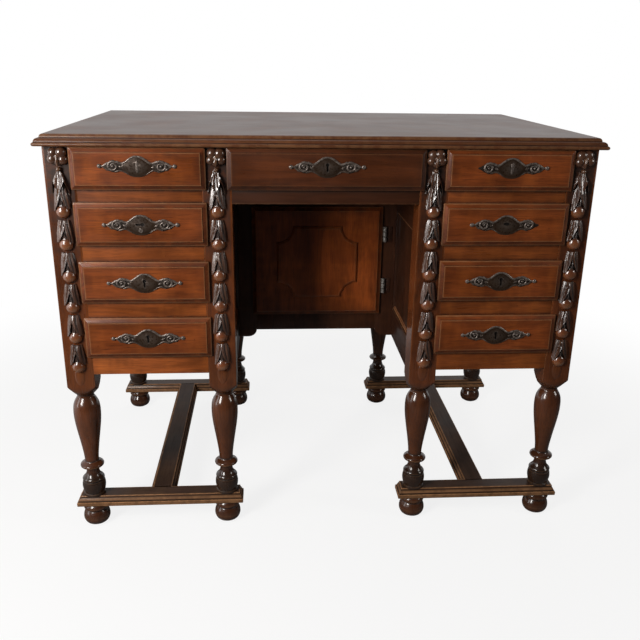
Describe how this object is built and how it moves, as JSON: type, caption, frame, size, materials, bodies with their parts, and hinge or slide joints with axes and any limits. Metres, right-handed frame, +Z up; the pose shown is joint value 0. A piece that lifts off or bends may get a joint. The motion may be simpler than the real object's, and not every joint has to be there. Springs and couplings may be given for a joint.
{
  "type": "kneehole desk",
  "caption": "Kneehole writing desk in dark polished wood on turned legs, with lipped drawers, carved garlands on its posts, cast keyhole plates and a recessed cupboard.",
  "frame": {"origin": "on the floor, under the middle of the table top", "axes": "+X runs to the right along the front, +Y to the rear, +Z up"},
  "size_m": [1, 0.624, 0.78],
  "materials": {
    "front_wood": "red-brown figured wood, french polished",
    "case_wood": "brown wood, polished, worn lighter on edges",
    "turned_wood": "dark brown wood, polished to a gloss",
    "inner_wood": "plain secondary wood, unpolished",
    "bronze": "cast, darkened, bright on the high places",
    "iron": "darkened, rubbed bright on the barrels"
  },
  "bodies": {
    "carcase": {"back_boards": "inner_wood", "bottom_boards": "inner_wood", "bun_feet": "turned_wood", "cupboard_boards": "inner_wood", "cupboard_frame": "case_wood", "cupboard_hinge_leaves": "iron", "drawer_runners": "inner_wood", "front_rails": "case_wood", "left_front_stretcher": "turned_wood", "left_garlands": "turned_wood", "left_inner_front_leg": "turned_wood", "left_inner_rear_leg": "turned_wood", "left_inner_side": "case_wood", "left_middle_stretcher": "turned_wood", "left_outer_front_leg": "turned_wood", "left_outer_rear_leg": "turned_wood", "left_outer_side": "case_wood", "left_rear_stretcher": "turned_wood", "right_front_stretcher": "turned_wood", "right_garlands": "turned_wood", "right_inner_front_leg": "turned_wood", "right_inner_rear_leg": "turned_wood", "right_inner_side": "case_wood", "right_middle_stretcher": "turned_wood", "right_outer_front_leg": "turned_wood", "right_outer_rear_leg": "turned_wood", "right_outer_side": "case_wood", "right_rear_stretcher": "turned_wood", "top_board": "case_wood"},
    "centre_drawer": {"centre_drawer_box": "inner_wood", "centre_drawer_escutcheon": "bronze", "centre_drawer_front": "front_wood"},
    "left_drawer_1": {"left_drawer_1_box": "inner_wood", "left_drawer_1_escutcheon": "bronze", "left_drawer_1_front": "front_wood"},
    "left_drawer_2": {"left_drawer_2_box": "inner_wood", "left_drawer_2_escutcheon": "bronze", "left_drawer_2_front": "front_wood"},
    "left_drawer_3": {"left_drawer_3_box": "inner_wood", "left_drawer_3_escutcheon": "bronze", "left_drawer_3_front": "front_wood"},
    "left_drawer_4": {"left_drawer_4_box": "inner_wood", "left_drawer_4_escutcheon": "bronze", "left_drawer_4_front": "front_wood"},
    "right_drawer_1": {"right_drawer_1_box": "inner_wood", "right_drawer_1_escutcheon": "bronze", "right_drawer_1_front": "front_wood"},
    "right_drawer_2": {"right_drawer_2_box": "inner_wood", "right_drawer_2_escutcheon": "bronze", "right_drawer_2_front": "front_wood"},
    "right_drawer_3": {"right_drawer_3_box": "inner_wood", "right_drawer_3_escutcheon": "bronze", "right_drawer_3_front": "front_wood"},
    "right_drawer_4": {"right_drawer_4_box": "inner_wood", "right_drawer_4_escutcheon": "bronze", "right_drawer_4_front": "front_wood"},
    "cupboard_door": {"door_hinge_leaves": "iron", "door_leaf": "front_wood", "door_panel": "front_wood"}
  },
  "joints": [
    {"name": "centre_drawer_slide", "type": "slide", "parent": "carcase", "child": "centre_drawer", "axis": [0, -1, 0], "range_m": [0, 0.38]},
    {"name": "left_drawer_1_slide", "type": "slide", "parent": "carcase", "child": "left_drawer_1", "axis": [0, -1, 0], "range_m": [0, 0.38]},
    {"name": "left_drawer_2_slide", "type": "slide", "parent": "carcase", "child": "left_drawer_2", "axis": [0, -1, 0], "range_m": [0, 0.38]},
    {"name": "left_drawer_3_slide", "type": "slide", "parent": "carcase", "child": "left_drawer_3", "axis": [0, -1, 0], "range_m": [0, 0.38]},
    {"name": "left_drawer_4_slide", "type": "slide", "parent": "carcase", "child": "left_drawer_4", "axis": [0, -1, 0], "range_m": [0, 0.38]},
    {"name": "right_drawer_1_slide", "type": "slide", "parent": "carcase", "child": "right_drawer_1", "axis": [0, -1, 0], "range_m": [0, 0.38]},
    {"name": "right_drawer_2_slide", "type": "slide", "parent": "carcase", "child": "right_drawer_2", "axis": [0, -1, 0], "range_m": [0, 0.38]},
    {"name": "right_drawer_3_slide", "type": "slide", "parent": "carcase", "child": "right_drawer_3", "axis": [0, -1, 0], "range_m": [0, 0.38]},
    {"name": "right_drawer_4_slide", "type": "slide", "parent": "carcase", "child": "right_drawer_4", "axis": [0, -1, 0], "range_m": [0, 0.38]},
    {"name": "cupboard_door_hinge", "type": "hinge", "parent": "carcase", "child": "cupboard_door", "pos_m": [0.1448, -0.064, 0.494], "axis": [0, 0, 1], "range_deg": [0, 90]}
  ]
}
